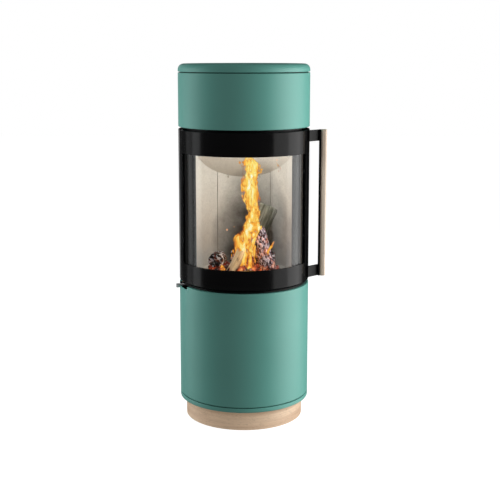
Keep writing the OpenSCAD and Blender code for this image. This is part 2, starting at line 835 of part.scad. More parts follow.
base_plate();
plinth_ring();
plinth_posts();
levelling_screws();
base_ring();
chassis_floor();
lower_casing();
chassis_posts();
air_inlet_spigot();
air_duct();
air_box();
valve_seat();
valve_ring();
air_lever();
lever_knob();
ash_box();
ash_pan();
ash_pan_handle();
grate();
firebox_floor();
hearth_lining();
firebox_shell();
firebox_top();
front_frame();
log_retainer();
back_lining();
left_lining();
right_lining();
baffle_plate();
baffle_bar();
baffle_pins();
flue_spigot();
rear_heat_shield();
middle_casing();
collar_ring();
upper_casing();
lid_seat_ring();
top_plate();
top_cover();
casing_screws();
hinge_tabs();
hinge_pins();
hinge_washers();
catch_brackets();
catch_rollers();
door_upper_rail();
door_lower_rail();
door_stiles();
door_glass();
seal_carrier();
door_gasket();
glass_clips();
hinge_bushes();
latch_tongues();
upper_handle_bracket();
lower_handle_bracket();
handle_bar();
handle_grip();
handle_screws();
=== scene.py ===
"""Looks of the wood burning stove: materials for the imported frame, the fire, the rope seal
and a plain studio.

Metres throughout. Z is up, the door faces -Y and the handle is towards +X. Angles called phi are
counted from the front, positive towards +X, as in the part's source.
"""

import json
import math
import random

import bmesh
import bpy
from mathutils import Matrix, Vector, noise


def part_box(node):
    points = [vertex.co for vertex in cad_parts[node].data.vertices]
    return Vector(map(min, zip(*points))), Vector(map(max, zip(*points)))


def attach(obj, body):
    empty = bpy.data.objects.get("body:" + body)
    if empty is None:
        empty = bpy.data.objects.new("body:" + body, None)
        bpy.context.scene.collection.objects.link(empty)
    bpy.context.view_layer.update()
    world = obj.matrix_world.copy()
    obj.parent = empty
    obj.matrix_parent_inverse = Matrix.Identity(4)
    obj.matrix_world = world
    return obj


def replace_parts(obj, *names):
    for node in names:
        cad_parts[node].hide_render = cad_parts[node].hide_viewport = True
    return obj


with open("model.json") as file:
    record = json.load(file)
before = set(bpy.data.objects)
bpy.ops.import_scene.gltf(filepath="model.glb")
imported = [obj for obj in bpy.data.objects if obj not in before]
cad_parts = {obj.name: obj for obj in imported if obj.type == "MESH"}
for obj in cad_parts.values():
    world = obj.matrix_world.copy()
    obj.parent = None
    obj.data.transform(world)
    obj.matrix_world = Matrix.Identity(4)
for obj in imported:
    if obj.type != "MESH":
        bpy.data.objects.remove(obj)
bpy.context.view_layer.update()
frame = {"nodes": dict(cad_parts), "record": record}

# ---- camera and studio ----
CAMERA_AT = (0.0, -3.5, 1.265)
CAMERA_PITCH = 9.337         # degrees below the horizon
CAMERA_LENS = 73.39
CAMERA_SHIFT = (0.012, -0.06)
BACKDROP = 1.0               # brightness of the background as the camera sees it
AMBIENT = 0.27               # the same background as it lights matt surfaces
MIRRORED = 0.03              # and as glossy surfaces mirror it
FLOOR_SIZE = 24.0
FLOOR_GREYS = (0.38, 0.40)
FLOOR_GLOW = 0.91            # keeps the floor pale where no lamp reaches it
LAMPS_AIM = (0, 0, 0.66)
LAMPS = (                    # name, phi, distance, height, width, tall, watts, colour, mirrored
    ("key_right", 86, 2.7, 0.70, 3.8, 3.4, 27, (1.0, 0.99, 0.98), True),
    ("edge_right", 96, 2.9, 0.70, 1.6, 3.4, 11, (1.0, 0.99, 0.98), True),
    ("soft_right", 84, 2.7, 0.66, 2.6, 3.4, 98, (1.0, 0.99, 0.98), False),
    ("strip_left", -88, 2.4, 0.70, 0.8, 3.2, 5.5, (0.97, 0.99, 1.0), True),
    ("glass_left", -108, 2.5, 0.70, 0.7, 3.2, 1.8, (0.98, 0.99, 1.0), True),
    ("edge_left", -153, 2.6, 0.70, 0.8, 3.2, 3.0, (0.98, 0.99, 1.0), True),
    ("soft_left", -110, 2.6, 0.66, 1.8, 3.2, 68, (0.98, 0.99, 1.0), False),
)
PLINTH_LAMP = {"at": (-0.15, -1.1, 0.25), "aim": (0, 0, 0.03), "width": 0.5, "tall": 0.3,
               "watts": 2.2, "colour": (1.0, 0.98, 0.95)}
FIREBOX_LAMP = {"at": (0.09, -0.170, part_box("front_frame")[1].z - 0.075),
                "aim": (-0.09, 0.05, 0.72), "width": 0.14, "tall": 0.03, "watts": 0.95,
                "colour": (0.96, 0.99, 1.0)}

# ---- the fire ----
HEARTH_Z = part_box("hearth_lining")[1].z
FIRE_X = 0.01
FIRE_Y = -0.045
FIRE_GLOW = {"energy": 0.22, "color": (1.0, 0.66, 0.36), "shadow_soft_size": 0.03}
FIRE_GLOW_AT = (FIRE_X, -0.165, 0.62)
LINING_JOINT = math.radians(35)     # where the lining's boards meet, from its middle
LINING_IN = 0.1655                  # inner radius of the boards
DARK_PATCH_AT = (FIRE_X + 0.022, 0.557)   # the middle of the darker patch on the boards, sideways and up
DARK_PATCH_REACH = (0.110, 0.24)
FLAME_FOOT = 0.522
FLAME_TALL = 0.402
FLAME_STEP = 0.0022                 # grid of a flame sheet
FLAME_COLUMNS = 72
FLAME_DEEP = 0.024                  # this far in from its edge a sheet is at its hottest
FLAME_SHAPE = (              # share of its height, its middle sideways, half its width
    (0.00, 0.010, 0.036), (0.15, 0.006, 0.044), (0.29, 0.004, 0.046), (0.36, 0.021, 0.038),
    (0.45, 0.029, 0.029), (0.52, 0.034, 0.020), (0.60, 0.027, 0.028), (0.76, 0.022, 0.031),
    (0.86, 0.027, 0.027), (1.00, 0.016, 0.035),
)
SPARKS = (                   # x, y, z, size
    (-0.058, -0.06, 0.666, 0.0021), (-0.034, -0.05, 0.674, 0.0014), (0.112, -0.05, 0.905, 0.0013),
)
COAL_COUNT = 230
COAL_X = (-0.128, 0.130)     # the coals are dropped in this field
COAL_Y = (-0.134, 0.060)
COAL_REACH = (0.115, 0.085)  # half widths of their heap
COAL_OUT = 0.150             # and no coal lies further from the stove's axis
COAL_SIZE = (0.0055, 0.0125)
COAL_HEAP = 0.026
SIDE_HEAP = (0.016, -0.094, 0.036)  # the low heap under the charred log: height, x, width
ASH_AT = (0.004, -0.010)
ASH_R = 0.135
ASH_HEAP = 0.020
ASH_RINGS, ASH_SPOKES = 16, 60

# ---- logs ----
LOG_SIDES = 60
LOG_STEP = 0.004             # spacing of a log's rings
LOG_CAPS = (0.0, 0.3, 0.6, 0.85)    # rings on its ends, as shares of its radius

# ---- rope seal ----
ROPE_R = 0.0045
ROPE_CORNER = 0.014          # radius of the loop's corners
CORNER_POINTS = 15
ROPE_STEP = 0.0016           # spacing of its rings
ROPE_SIDES = 14
ROPE_STRANDS = 3
ROPE_TWIST = 0.62            # turn of the plait from one ring to the next


# ---------------------------------------------------------------- shaders

class Shader:
    """One node material. Inputs take a plain value or another node's socket."""

    def __init__(self, name):
        self.material = bpy.data.materials.new(name)
        self.material.use_nodes = True
        self.tree = self.material.node_tree
        self.tree.nodes.clear()
        self.place = self.add("TexCoord").outputs["Object"]

    def add(self, kind, inputs=None, **settings):
        node = self.tree.nodes.new("ShaderNode" + kind)
        for key, value in settings.items():
            setattr(node, key, value)
        for key, value in (inputs or {}).items():
            if isinstance(value, bpy.types.NodeSocket):
                self.tree.links.new(value, node.inputs[key])
            else:
                node.inputs[key].default_value = value
        return node

    def math(self, operation, a, b=0.0, c=0.0, clamp=False):
        return self.add("Math", {0: a, 1: b, 2: c}, operation=operation, use_clamp=clamp).outputs[0]

    def stretched(self, by, place=None):
        return self.add("Mapping", {"Vector": place or self.place, "Scale": by}).outputs[0]

    def noise(self, scale, detail=3.0, rough=0.5, by=(1, 1, 1), twist=0.0, place=None):
        inputs = {"Vector": self.stretched(by, place), "Scale": scale, "Detail": detail,
                  "Roughness": rough, "Distortion": twist}
        return self.add("TexNoise", inputs).outputs["Fac"]

    def cells(self, scale, feature="F1", by=(1, 1, 1)):
        inputs = {"Vector": self.stretched(by), "Scale": scale}
        return self.add("TexVoronoi", inputs, feature=feature)

    def ramp(self, factor, stops):
        """stops are (place, colour) or (place, grey)."""
        node = self.add("ValToRGB", {"Fac": factor})
        while len(node.color_ramp.elements) < len(stops):
            node.color_ramp.elements.new(1.0)
        for element, (at, colour) in zip(node.color_ramp.elements, stops):
            element.position = at
            element.color = rgba(colour)
        return node.outputs["Color"]

    def range(self, value, low, high, to_low, to_high):
        inputs = {"Value": value, "From Min": low, "From Max": high, "To Min": to_low,
                  "To Max": to_high}
        return self.add("MapRange", inputs, clamp=True).outputs[0]

    def mix(self, factor, a, b):
        inputs = {0: factor, 6: colour_input(a), 7: colour_input(b)}
        return self.add("Mix", inputs, data_type="RGBA").outputs[2]

    def bump(self, height, strength, distance, under=None):
        inputs = {"Height": height, "Strength": strength, "Distance": distance}
        if under is not None:
            inputs["Normal"] = under
        return self.add("Bump", inputs).outputs[0]

    def axes(self, place=None):
        return self.add("SeparateXYZ", {0: place or self.place}).outputs

    def around(self, radius):
        """Coordinates that follow a ring about the stove's axis: along it, across it, and up."""
        x, y, z = self.axes()
        turn = self.math("ARCTAN2", x, self.math("MULTIPLY", y, -1.0))
        along = self.math("MULTIPLY", turn, radius)
        flat = self.add("CombineXYZ", {0: x, 1: y}).outputs[0]
        across = self.add("VectorMath", {0: flat}, operation="LENGTH").outputs["Value"]
        return self.add("CombineXYZ", {0: along, 1: across, 2: z}).outputs[0]

    def surface(self, colour, roughness, normal=None, **more):
        """Ends the material in one Principled shader."""
        inputs = {"Base Color": colour_input(colour), "Roughness": roughness}
        if normal is not None:
            inputs["Normal"] = normal
        inputs.update({key.replace("_", " "): value for key, value in more.items()})
        return self.finish(self.add("BsdfPrincipled", inputs).outputs[0])

    def finish(self, shader):
        out = self.add("OutputMaterial")
        self.tree.links.new(shader, out.inputs["Surface"])
        return self.material


def rgba(colour):
    """A colour as four numbers, from a grey or from three."""
    if isinstance(colour, (int, float)):
        colour = (colour,) * 3
    return (*colour[:3], 1.0)


def colour_input(value):
    """A socket as it is, or a colour as the four numbers that a colour input takes."""
    return value if isinstance(value, bpy.types.NodeSocket) else rgba(value)


def srgb(r, g, b):
    """A linear colour from the 0 to 255 values of a colour picker."""
    return tuple((c / 255 / 12.92) if c <= 10 else ((c / 255 + 0.055) / 1.055) ** 2.4
                 for c in (r, g, b))


def scaled(colour, by):
    return tuple(c * by for c in colour)


def halfway(a, b):
    return tuple((x + y) / 2 for x, y in zip(a, b))


def powder_coat(name, colour, rough):
    """Satin powder coat: faint clouding and a fine orange peel."""
    s = Shader(name)
    tint = s.ramp(s.noise(3.0, 3), [(0.35, scaled(colour, 0.96)), (0.65, scaled(colour, 1.04))])
    roughness = s.range(s.noise(55, 4), 0.3, 0.7, rough - 0.03, rough + 0.04)
    peel = s.bump(s.noise(620, 2), 0.10, 0.0003)
    fine = s.bump(s.noise(2300, 1), 0.05, 0.0001, peel)
    return s.surface(tint, roughness, fine, Specular_IOR_Level=0.8)


def stove_paint(name, colour, rough, grain):
    """Baked black stove paint, a little dusty, with fine grain."""
    s = Shader(name)
    dust = s.noise(9, 5, 0.6)
    tint = s.ramp(dust, [(0.3, scaled(colour, 0.85)), (0.75, scaled(colour, 1.25))])
    roughness = s.range(s.noise(28, 5, 0.6), 0.3, 0.7, rough - 0.04, rough + 0.05)
    return s.surface(tint, roughness, s.bump(s.noise(1100, 2), grain, 0.0002))


def beech(name, light, dark, place=None, along=2):
    """Oiled beech with its grain along one axis: soft bands, fibres and short dark flecks."""
    s = Shader(name)
    where = place(s) if place else s.place
    slow = [1.0, 1.0, 1.0]
    slow[along] = 0.045
    fast = [1.0, 1.0, 1.0]
    fast[along] = 0.02
    fleck_by = [1.0, 1.0, 1.0]
    fleck_by[along] = 0.16
    bands = s.noise(46, 4, 0.55, slow, 0.6, where)
    fibre = s.noise(420, 3, 0.6, fast, 0.0, where)
    fleck = s.noise(640, 1, 0.5, fleck_by, 0.0, where)
    colour = s.ramp(bands, [(0.32, dark), (0.5, halfway(light, dark)), (0.68, light)])
    colour = s.mix(s.range(fibre, 0.35, 0.65, 0.0, 0.28), colour, scaled(dark, 0.8))
    colour = s.mix(s.range(fleck, 0.60, 0.72, 0.0, 0.45), colour, scaled(dark, 0.55))
    roughness = s.range(fibre, 0.3, 0.7, 0.42, 0.58)
    relief = s.bump(fibre, 0.25, 0.0003)
    return s.surface(colour, roughness, s.bump(fleck, 0.12, 0.0002, relief))


def galvanised():
    """Zinc coated sheet: grey spangles under a dull bloom."""
    s = Shader("galvanised_sheet")
    spangle = s.cells(70)
    grey = s.ramp(spangle.outputs["Color"],
                  [(0.2, srgb(150, 153, 156)), (0.8, srgb(190, 193, 196))])
    dull = s.mix(s.range(s.noise(14, 5), 0.4, 0.7, 0.0, 0.35), grey, srgb(128, 130, 131))
    roughness = s.range(s.noise(60, 4), 0.3, 0.7, 0.32, 0.5)
    relief = s.bump(spangle.outputs["Distance"], 0.06, 0.0004)
    return s.surface(dull, roughness, relief, Metallic=0.5)


def brushed(name, colour, rough):
    """Bare metal with fine upright lines of brushing."""
    s = Shader(name)
    lines = s.noise(900, 3, 0.6, (1, 1, 0.03))
    tint = s.ramp(lines, [(0.3, scaled(colour, 0.88)), (0.7, colour)])
    roughness = s.range(lines, 0.3, 0.7, rough, rough + 0.1)
    return s.surface(tint, roughness, s.bump(lines, 0.1, 0.0001), Metallic=1.0)


def satin_silver():
    """Satin silver on a turned knob: fine rings of tooling under a soft sheen."""
    s = Shader("satin_silver")
    rings = s.noise(700, 2, 0.5, (0.05, 0.05, 1))
    tint = s.ramp(rings, [(0.3, srgb(222, 224, 226)), (0.7, srgb(244, 245, 246))])
    roughness = s.range(rings, 0.3, 0.7, 0.30, 0.40)
    return s.surface(tint, roughness, s.bump(rings, 0.1, 0.0001), Metallic=0.15)


def cast_iron():
    """Rough black iron with ash lying on it."""
    s = Shader("cast_iron")
    crust = s.noise(180, 6, 0.65)
    ash = s.range(s.noise(24, 4, 0.6), 0.52, 0.7, 0.0, 0.55)
    colour = s.mix(ash, s.ramp(crust, [(0.3, 0.010), (0.7, 0.035)]), 0.20)
    return s.surface(colour, s.range(crust, 0.3, 0.7, 0.6, 0.85), s.bump(crust, 0.6, 0.0012))


def vermiculite(name, pale, dark_amount):
    """Pressed vermiculite board: tight pale flakes, darker brown round a spot by the foot of the
    fire.
    """
    s = Shader(name)
    flake = s.cells(300)
    tone = s.ramp(flake.outputs["Color"],
                  [(0.1, scaled(pale, 0.88)), (0.5, pale), (0.9, scaled(pale, 1.08))])
    cloud = s.noise(7, 4, 0.55)
    tone = s.mix(s.range(cloud, 0.4, 0.7, 0.0, 0.25), tone, scaled(pale, 0.82))
    # The boards turn dark brown round a spot by the foot of the fire, fading unevenly outwards.
    x, y, z = s.axes()
    wide, tall = (s.math("POWER", s.math("DIVIDE", s.math("SUBTRACT", axis, middle), reach), 2.0)
                  for axis, middle, reach in zip((x, z), DARK_PATCH_AT, DARK_PATCH_REACH))
    uneven = s.range(s.noise(11, 5, 0.6), 0.3, 0.7, -0.35, 0.35)
    spread = s.math("ADD", s.math("ADD", wide, tall), uneven)
    dark_patch = s.range(spread, 0.15, 1.9, dark_amount, 0.0)
    tone = s.mix(dark_patch, tone, srgb(48, 38, 31))
    turn = s.math("ABSOLUTE", s.math("ARCTAN2", x, y))
    from_joint = s.math("ABSOLUTE", s.math("SUBTRACT", turn, LINING_JOINT))
    joint = s.range(from_joint, 0.002, 0.007, 0.9, 0.0)
    wall = s.math("GREATER_THAN", s.axes(s.around(1.0))[1], LINING_IN)
    tone = s.mix(s.math("MULTIPLY", joint, wall), tone, srgb(60, 50, 42))
    rough_face = s.bump(s.noise(520, 3, 0.7), 0.35, 0.0006)
    return s.surface(tone, 0.93, s.bump(flake.outputs["Distance"], 0.15, 0.0005, rough_face))


def ceramic_glass():
    """Ceramic glass as a thin pane: faintly smeared, clear face on, mirroring at a flat angle."""
    s = Shader("ceramic_glass")
    smear = s.noise(10, 4, 0.6, (1, 1, 0.3))
    tint = s.ramp(smear, [(0.3, (0.95, 0.965, 0.96)), (0.7, (0.98, 0.99, 0.985))])
    clear = s.add("BsdfTransparent", {"Color": tint})
    roughness = s.range(smear, 0.3, 0.7, 0.0, 0.03)
    gloss = s.add("BsdfGlossy", {"Color": rgba(0.9), "Roughness": roughness})
    facing = s.add("LayerWeight", {"Blend": 0.5}).outputs["Facing"]
    mirror = s.math("MULTIPLY_ADD", s.math("POWER", facing, 3.0), 0.7, 0.04)
    pane = s.add("MixShader", {0: mirror, 1: clear.outputs[0], 2: gloss.outputs[0]})
    return s.finish(pane.outputs[0])


def glass_rope():
    """Black glass fibre rope, fuzzy and dull."""
    s = Shader("glass_rope")
    fuzz = s.noise(1500, 3, 0.7)
    colour = s.ramp(fuzz, [(0.3, srgb(24, 24, 25)), (0.7, srgb(54, 53, 52))])
    return s.surface(colour, 0.9, s.bump(fuzz, 0.5, 0.0004))


def burning_wood(name, pale, deep, length, char, glow, ash=0.0):
    """Wood on the fire. Its local Z runs along the log, and it is charred from its foot upward."""
    s = Shader(name)
    fibre = s.noise(150, 5, 0.62, (1, 1, 0.07), 0.3)
    streak = s.noise(42, 4, 0.6, (1, 1, 0.10), 0.5)
    wood = s.ramp(fibre, [(0.30, deep), (0.55, halfway(pale, deep)), (0.70, pale)])
    wood = s.mix(s.range(streak, 0.50, 0.64, 0.0, 0.6), wood, scaled(deep, 0.6))
    uneven = s.range(s.noise(26, 5, 0.6), 0.25, 0.75, -0.45, 0.45)
    height = s.math("ADD", s.math("DIVIDE", s.axes()[2], length), uneven)
    burnt = s.range(height, char - 0.12, char + 0.12, 1.0, 0.0)
    blocks = s.cells(150, "DISTANCE_TO_EDGE", (1, 1, 0.4))
    crack = s.range(blocks.outputs["Distance"], 0.02, 0.14, 1.0, 0.0)
    coal = s.ramp(s.noise(210, 4, 0.6), [(0.35, 0.004), (0.75, 0.030)])
    white = s.range(s.noise(62, 3, 0.65, (1, 1, 0.5), 1.2),
                    0.60 - 0.09 * ash, 0.65 - 0.09 * ash, 0.0, 0.35 + 0.6 * ash)
    coal = s.mix(white, coal, srgb(212, 214, 222))
    colour = s.mix(burnt, wood, coal)
    hot = s.range(s.noise(60, 3, 0.5), 0.50, 0.64, 0.0, 1.0)
    ember = s.math("MULTIPLY", s.math("MULTIPLY", crack, hot), burnt)
    light = s.ramp(ember, [(0.0, 0.0), (0.35, (0.50, 0.035, 0.010)), (1.0, (0.95, 0.34, 0.06))])
    relief = s.bump(s.math("SUBTRACT", fibre, s.math("MULTIPLY", crack, burnt)), 0.7, 0.0015)
    return s.surface(colour, 0.88, relief, Emission_Color=light, Emission_Strength=1.2 * glow)


def bark_on_fire(name, ash, dark, glow):
    """Scorched bark: fine dark and ashy scales, with small embers in a few of the furrows."""
    s = Shader(name)
    scales = s.cells(215, "F1", (1, 1, 0.5))
    grit = s.noise(330, 4, 0.7)
    tone = s.math("ADD", s.axes(scales.outputs["Color"])[0], s.range(grit, 0.3, 0.7, -0.3, 0.3))
    colour = s.ramp(tone, [(0.25, scaled(dark, 0.35)), (0.48, dark),
                           (0.70, scaled(ash, 0.62)), (0.92, ash)])
    hot = s.math("MULTIPLY", s.range(s.noise(48, 3, 0.5), 0.50, 0.62, 0.0, 1.0),
                 s.range(scales.outputs["Distance"], 0.30, 0.55, 0.0, 1.0))
    light = s.ramp(hot, [(0.0, 0.0), (0.4, (0.36, 0.06, 0.035)), (1.0, (0.90, 0.32, 0.12))])
    relief = s.bump(s.math("SUBTRACT", grit, scales.outputs["Distance"]), 0.8, 0.002)
    return s.surface(colour, 0.92, relief, Emission_Color=light, Emission_Strength=glow)


def end_grain(name, pale, deep, glow):
    """The cut end of a log: year rings, drying checks and a glowing rim."""
    s = Shader(name)
    x, y, _ = s.axes()
    flat = s.add("CombineXYZ", {0: x, 1: y}).outputs[0]
    rings = s.add("TexWave", {"Vector": flat, "Scale": 190, "Distortion": 2.5, "Detail": 3},
                  wave_type="RINGS", rings_direction="Z").outputs["Fac"]
    colour = s.ramp(rings, [(0.2, deep), (0.8, pale)])
    burn = s.noise(45, 5, 0.65)
    colour = s.mix(s.range(burn, 0.42, 0.6, 0.0, 0.95), colour, 0.012)
    hot = s.range(s.noise(95, 4, 0.6), 0.52, 0.66, 0.0, 1.0)
    light = s.ramp(hot, [(0.0, 0.0), (0.5, (0.8, 0.07, 0.015)), (1.0, (1.0, 0.32, 0.05))])
    relief = s.bump(rings, 0.4, 0.0008)
    return s.surface(colour, 0.9, relief, Emission_Color=light, Emission_Strength=glow)


def coals():
    """Coals that glow through a dark skin with patches of pale ash."""
    s = Shader("glowing_coals")
    grit = s.noise(240, 5, 0.7)
    skin = s.ramp(grit, [(0.3, (0.020, 0.008, 0.008)), (0.75, (0.11, 0.055, 0.050))])
    skin = s.mix(s.range(s.noise(75, 5, 0.7), 0.52, 0.62, 0.0, 0.8), skin, srgb(190, 156, 150))
    patch = s.noise(46, 3, 0.5)
    heat = s.range(s.math("ADD", patch, s.math("MULTIPLY", grit, 0.3)), 0.62, 0.92, 0.0, 1.0)
    light = s.ramp(heat, [(0.0, 0.0), (0.3, (0.22, 0.025, 0.010)), (0.7, (0.80, 0.14, 0.03)),
                          (1.0, (1.0, 0.5, 0.14))])
    relief = s.bump(grit, 0.8, 0.0015)
    return s.surface(skin, 0.93, relief, Emission_Color=light, Emission_Strength=1.0)


def ash_dust():
    """Loose grey ash."""
    s = Shader("ash_dust")
    grit = s.noise(330, 5, 0.75)
    colour = s.ramp(grit, [(0.3, srgb(70, 62, 58)), (0.7, srgb(168, 158, 150))])
    return s.surface(colour, 0.96, s.bump(grit, 0.7, 0.001))


def flame_light(name, stops, clearness):
    """Fire as light. The mesh stores its heat, hottest inside, and tongues rise through it."""
    s = Shader(name)
    heat, rise, _ = s.axes(s.add("UVMap", uv_map="heat").outputs[0])
    streak = s.noise(60, 2, 0.45, (1, 1, 0.26), 0.9)
    curl = s.noise(28, 2, 0.5, (1, 1, 0.5), 1.8)
    local = s.math("MULTIPLY_ADD", heat, 0.42, s.math("MULTIPLY_ADD", rise, 0.44, -0.11))
    local = s.math("ADD", local, s.range(streak, 0.34, 0.66, -0.28, 0.32))
    local = s.math("ADD", local, s.range(curl, 0.34, 0.66, -0.28, 0.30), clamp=True)
    glow = s.add("Emission", {"Color": s.ramp(local, stops), "Strength": 1.12})
    dense = s.range(local, 0.04, 0.34, clearness, 1.0)
    body = s.math("MULTIPLY", dense, s.range(heat, 0.0, 0.14, 0.15, 1.0))
    clear = s.add("BsdfTransparent")
    mixed = s.add("MixShader", {0: body, 1: clear.outputs[0], 2: glow.outputs[0]})
    material = s.finish(mixed.outputs[0])
    material.cycles.emission_sampling = "NONE"
    return material


# ---------------------------------------------------------------- meshes

def linked(name, data):
    """A new object with this data, in the scene."""
    made = bpy.data.objects.new(name, data)
    bpy.context.scene.collection.objects.link(made)
    return made


def new_object(name, verts, faces, materials, indices=None):
    """A smooth mesh object. indices give each face's material."""
    mesh = bpy.data.meshes.new(name)
    mesh.from_pydata(verts, [], faces)
    for material in materials:
        mesh.materials.append(material)
    for i, face in enumerate(mesh.polygons):
        face.use_smooth = True
        if indices:
            face.material_index = indices[i]
    mesh.update()
    return linked(name, mesh)


def object_from(bm, name, material):
    """An object from a bmesh, which is used up."""
    mesh = bpy.data.meshes.new(name)
    bm.to_mesh(mesh)
    bm.free()
    mesh.materials.append(material)
    return linked(name, mesh)


def finished(piece, body):
    """Says which body the piece rides on."""
    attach(piece, body)
    return piece


def tube_faces(rings, sides, closed=False):
    """Quads between successive rings of points. A closed tube's last ring meets its first."""
    faces = []
    for i in range(rings if closed else rings - 1):
        j = (i + 1) % rings
        for k in range(sides):
            n = (k + 1) % sides
            faces.append((i * sides + k, i * sides + n, j * sides + n, j * sides + k))
    return faces


def rope_seal():
    """The plaited rope between door and firebox, as a closed loop on the seal's cylinder."""
    low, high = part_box("door_gasket")
    ring_r = -low.y - ROPE_R
    half = math.asin(high.x / (ring_r + ROPE_R)) - ROPE_R / ring_r
    right = half * ring_r - ROPE_CORNER
    top = high.z - ROPE_R - ROPE_CORNER
    bottom = low.z + ROPE_R + ROPE_CORNER
    path = []
    for u, z, start in ((right, top, 0), (-right, top, 90), (-right, bottom, 180),
                        (right, bottom, 270)):
        for k in range(CORNER_POINTS):
            a = math.radians(start + k * 90 / (CORNER_POINTS - 1))
            path.append((u + ROPE_CORNER * math.cos(a), z + ROPE_CORNER * math.sin(a)))
    dense = []
    for (u0, z0), (u1, z1) in zip(path, path[1:] + path[:1]):
        count = max(1, round(math.hypot(u1 - u0, z1 - z0) / ROPE_STEP))
        dense += [(u0 + (u1 - u0) * k / count, z0 + (z1 - z0) * k / count) for k in range(count)]
    verts = []
    for i, (u, z) in enumerate(dense):
        phi = u / ring_r
        out = Vector((math.sin(phi), -math.cos(phi), 0))
        next_u, next_z = dense[(i + 1) % len(dense)]
        run = next_u - u
        tangent = Vector((math.cos(phi) * run, math.sin(phi) * run, next_z - z)).normalized()
        side = out.cross(tangent).normalized()
        centre = out * ring_r + Vector((0, 0, z))
        for k in range(ROPE_SIDES):
            a = 2 * math.pi * k / ROPE_SIDES
            weave = max(math.cos(ROPE_STRANDS * a + i * ROPE_TWIST),
                        math.cos(ROPE_STRANDS * a - i * ROPE_TWIST))
            r = ROPE_R * (0.91 + 0.075 * weave)
            verts.append(centre + (out * math.cos(a) + side * math.sin(a)) * r)
    faces = tube_faces(len(dense), ROPE_SIDES, closed=True)
    piece = new_object("rope_seal", verts, faces, [glass_rope()])
    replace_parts(finished(piece, "door"), "door_gasket")


def log_section(radius, arc, count):
    """Points of a split log's section about its middle, each with True where it is bark."""
    if arc >= 360:
        return [((radius * math.cos(a), radius * math.sin(a)), True)
                for a in (2 * math.pi * k / count for k in range(count))]
    half = math.radians(arc / 2)
    big = 1.75 * radius
    back = 0.62 * big
    n_bark = int(count * 0.4)
    n_side = (count - n_bark) // 2
    points = []
    for k in range(n_bark):
        a = -half + 2 * half * k / (n_bark - 1)
        points.append(((big * math.cos(a) - back, big * math.sin(a)), True))
    for k in range(1, n_side + 1):
        t = k / (n_side + 1)
        out, up = big * math.cos(half) * (1 - t), big * math.sin(half) * (1 - t)
        points.append(((out - back, up), False))
    for k in range(1, n_side + 1):
        t = k / (n_side + 1)
        points.append(((big * math.cos(half) * t - back, -big * math.sin(half) * t), False))
    return points


def log(name, foot, top, radius, arc, spin, seed, materials):
    """A log from foot to top: bark plates, torn fibres on the split faces and checked ends."""
    foot, top = Vector(foot), Vector(top)
    length = (top - foot).length
    rings = max(12, round(length / LOG_STEP))
    section = log_section(radius, arc, LOG_SIDES)
    count = len(section)
    rise = Vector((0, 0, seed * 7.3))
    verts = []

    def layer(z, scale, lift=0.0):
        """One ring of points at z. lift is how far a cut end is chipped."""
        bend = Vector((noise.noise(Vector((z * 9, 0, 0)) + rise),
                       noise.noise(Vector((0, z * 9, 3)) + rise)))
        bend *= radius * 0.18
        for (x, y), bark in section:
            side = math.hypot(x, y) or 1.0
            if bark:
                rough = -abs(noise.noise(Vector((x * 130, y * 130, z * 26)) + rise)) * 0.10
                rough += noise.noise(Vector((x * 45, y * 45, z * 14)) + rise) * 0.07
            else:
                rough = noise.noise(Vector((x * 210, y * 210, z * 9)) + rise) * 0.05
                rough += noise.noise(Vector((x * 40, y * 40, z * 12)) + rise) * 0.08
            grow = scale * (1 + rough * radius / side * 1.6)
            chip = noise.noise(Vector((x * 90, y * 90, 5 + z)) + rise) * 0.0035 * lift
            verts.append(Vector((x * grow + bend.x, y * grow + bend.y, z + chip)))

    for scale in LOG_CAPS:
        layer(0.0, scale or 0.02, 1.0)
    for i in range(rings + 1):
        z = length * i / rings
        worn = 1 - 0.10 * math.exp(-min(z, length - z) / 0.004)
        layer(z, worn, 1.0 if i in (0, rings) else 0.0)
    for scale in reversed(LOG_CAPS):
        layer(length, scale or 0.02, 1.0)
    layers = len(verts) // count
    faces = tube_faces(layers, count)
    kinds = []
    for i in range(layers - 1):
        on_cap = i < len(LOG_CAPS) or i >= layers - 1 - len(LOG_CAPS)
        for k in range(count):
            bark = section[k][1] and section[(k + 1) % count][1]
            kinds.append(2 if on_cap else (0 if bark else 1))
    for first, order in ((0, -1), ((layers - 1) * count, 1)):
        faces.append([first + k for k in range(count)][::order])
        kinds.append(2)
    piece = new_object(name, verts, faces, materials, kinds)
    turn = Vector((0, 0, 1)).rotation_difference(top - foot).to_matrix().to_4x4()
    roll = Matrix.Rotation(math.radians(spin), 4, "Z")
    piece.matrix_world = Matrix.Translation(foot) @ turn @ roll
    return piece


def ember_bed(rng):
    """Broken coals in a low heap on the hearth."""
    bm = bmesh.new()
    made = 0
    side_high, side_x, side_wide = SIDE_HEAP
    while made < COAL_COUNT:
        x, y = rng.uniform(*COAL_X), rng.uniform(*COAL_Y)
        away = math.hypot((x - FIRE_X) / COAL_REACH[0], (y - FIRE_Y) / COAL_REACH[1])
        if away > 1.15 or math.hypot(x, y) > COAL_OUT:
            continue
        size = rng.uniform(*COAL_SIZE)
        heap = COAL_HEAP * max(0.0, 1 - away ** 2)
        heap += side_high * math.exp(-((x - side_x) / side_wide) ** 2)
        at = Vector((x, y, HEARTH_Z + size * 0.75 + heap * rng.uniform(0.75, 1.15)))
        angle = rng.uniform(0, 6.28)
        spin = Matrix.Rotation(angle, 4, Vector((rng.uniform(-1, 1), rng.uniform(-1, 1), 1)))
        long, wide, tall = rng.uniform(0.8, 1.5), rng.uniform(0.7, 1.1), rng.uniform(0.6, 0.9)
        shape = Matrix.Diagonal((long, wide, tall, 1))
        lump = bmesh.ops.create_icosphere(bm, subdivisions=2, radius=size)["verts"]
        offset = Vector((made * 1.7, made * 0.9, 0))
        for v in lump:
            v.co *= 1 + 0.35 * noise.noise(v.co / size * 1.1 + offset)
        bmesh.ops.transform(bm, matrix=Matrix.Translation(at) @ spin @ shape, verts=lump)
        made += 1
    finished(object_from(bm, "ember_bed", coals()), "stove")


